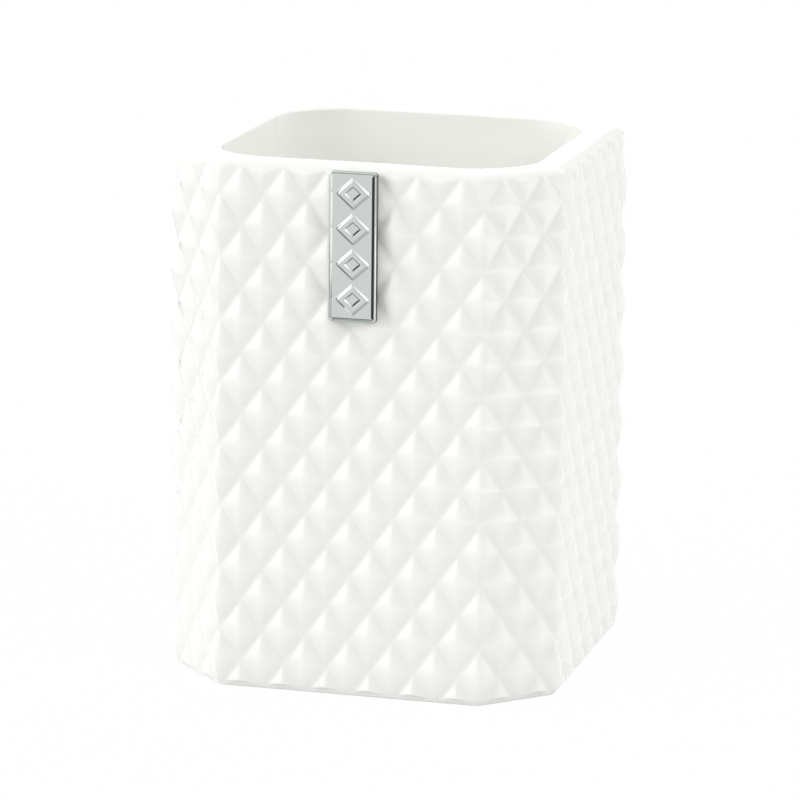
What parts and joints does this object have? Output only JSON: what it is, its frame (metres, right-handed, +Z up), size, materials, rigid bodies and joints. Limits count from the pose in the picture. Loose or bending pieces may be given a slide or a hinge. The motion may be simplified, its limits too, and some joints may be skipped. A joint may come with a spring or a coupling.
{
  "type": "bathroom tumbler",
  "caption": "Square ceramic bathroom tumbler with cut corners, a relief of shallow pyramids all round, and a small chromed badge stuck under the rim.",
  "frame": {"origin": "middle of the foot, on the plane that the tumbler stands on and on the upright axis of the body", "axes": "+Z up out of the mouth, -Y out of the front, where the badge is, +X to the right when the front is looked at"},
  "size_m": [0.0762, 0.0776, 0.1],
  "materials": {
    "glazed_ceramic": "white gloss glaze, bare fired clay on the foot ring",
    "chromed_zinc": "bright chrome plate on a die casting",
    "foam_tape": "matt white closed-cell foam tape"
  },
  "bodies": {
    "root": {"tumbler_body": "glazed_ceramic", "badge": "chromed_zinc", "badge_adhesive": "foam_tape"}
  },
  "joints": []
}
